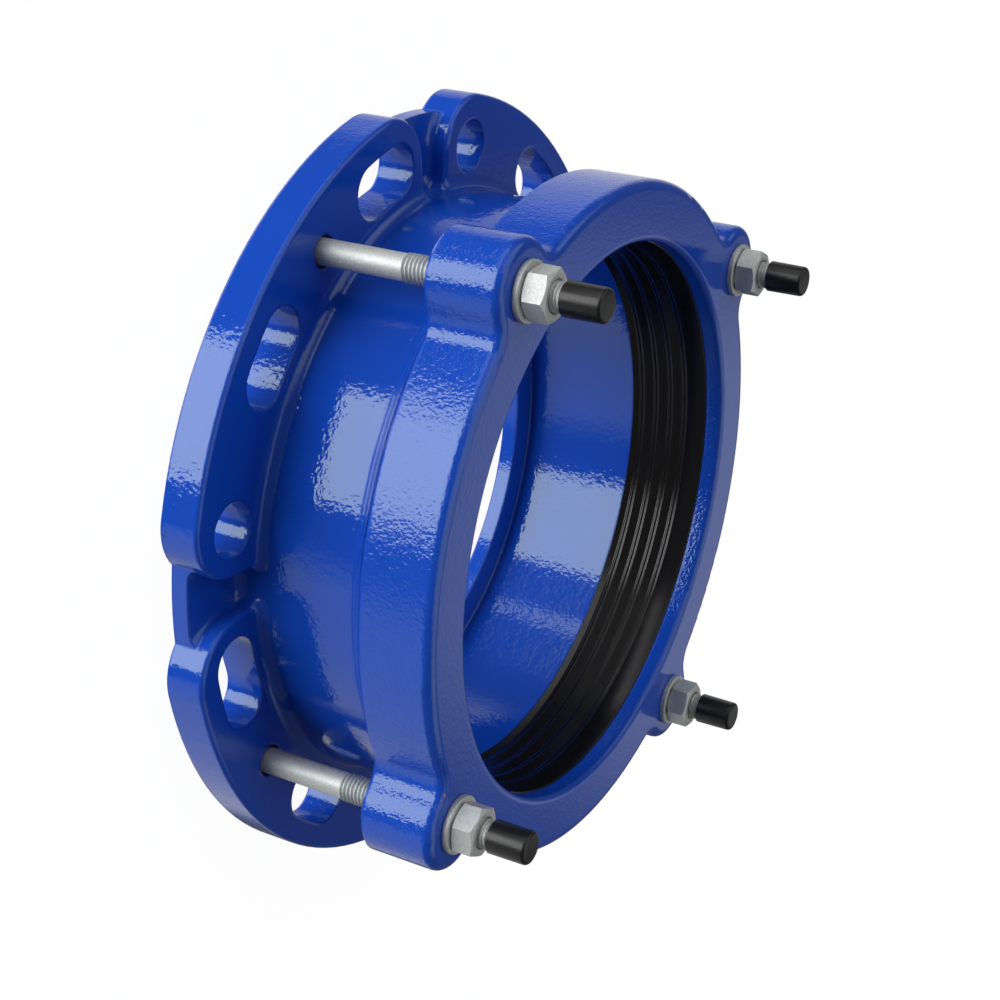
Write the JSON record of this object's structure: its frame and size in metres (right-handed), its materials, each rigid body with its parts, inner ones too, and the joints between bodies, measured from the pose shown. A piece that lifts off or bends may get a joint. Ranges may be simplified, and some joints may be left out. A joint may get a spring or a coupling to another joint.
{
  "type": "pipe flange adaptor",
  "caption": "Coated cast iron coupling that joins a plain pipe end to a flange: flanged sleeve, bolted clamp ring and squeezed rubber gasket.",
  "frame": {"origin": "centre of the flange face, which the fitting stands on", "axes": "+Z along the pipe axis, from the flange face towards the pipe end; +X through the first clamp bolt"},
  "size_m": [0.34, 0.34, 0.1395],
  "materials": {
    "coated_iron": "glossy blue epoxy coating on ductile iron",
    "gasket_rubber": "black, satin",
    "zinc_steel": "matt zinc plating",
    "cap_plastic": "black, satin"
  },
  "bodies": {
    "body": {"body": "coated_iron", "gasket": "gasket_rubber", "bolt_1": "zinc_steel", "bolt_2": "zinc_steel", "bolt_3": "zinc_steel", "bolt_4": "zinc_steel", "end_cap_1": "cap_plastic", "end_cap_2": "cap_plastic", "end_cap_3": "cap_plastic", "end_cap_4": "cap_plastic"},
    "gland": {"gland_ring": "coated_iron", "washer_1": "zinc_steel", "washer_2": "zinc_steel", "washer_3": "zinc_steel", "washer_4": "zinc_steel"},
    "nut_1": {"nut_1": "zinc_steel"},
    "nut_2": {"nut_2": "zinc_steel"},
    "nut_3": {"nut_3": "zinc_steel"},
    "nut_4": {"nut_4": "zinc_steel"}
  },
  "joints": [
    {"name": "gland_slide", "type": "slide", "parent": "body", "child": "gland", "axis": [0, 0, -1], "range_m": [0, 0.014], "deforming": ["gasket"]},
    {"name": "nut_1_turn", "type": "hinge", "parent": "gland", "child": "nut_1", "pos_m": [0.1485, 0, 0.1135], "axis": [0, 0, -1], "range_deg": [0, 2881]},
    {"name": "nut_2_turn", "type": "hinge", "parent": "gland", "child": "nut_2", "pos_m": [0, 0.1485, 0.1135], "axis": [0, 0, -1], "range_deg": [0, 2881]},
    {"name": "nut_3_turn", "type": "hinge", "parent": "gland", "child": "nut_3", "pos_m": [-0.1485, 0, 0.1135], "axis": [0, 0, -1], "range_deg": [0, 2881]},
    {"name": "nut_4_turn", "type": "hinge", "parent": "gland", "child": "nut_4", "pos_m": [0, -0.1485, 0.1135], "axis": [0, 0, -1], "range_deg": [0, 2881]}
  ],
  "couplings": [
    {"joint": "nut_1_turn", "follows": "gland_slide", "rad_per_m": 3590.4},
    {"joint": "nut_2_turn", "follows": "gland_slide", "rad_per_m": 3590.4},
    {"joint": "nut_3_turn", "follows": "gland_slide", "rad_per_m": 3590.4},
    {"joint": "nut_4_turn", "follows": "gland_slide", "rad_per_m": 3590.4}
  ]
}
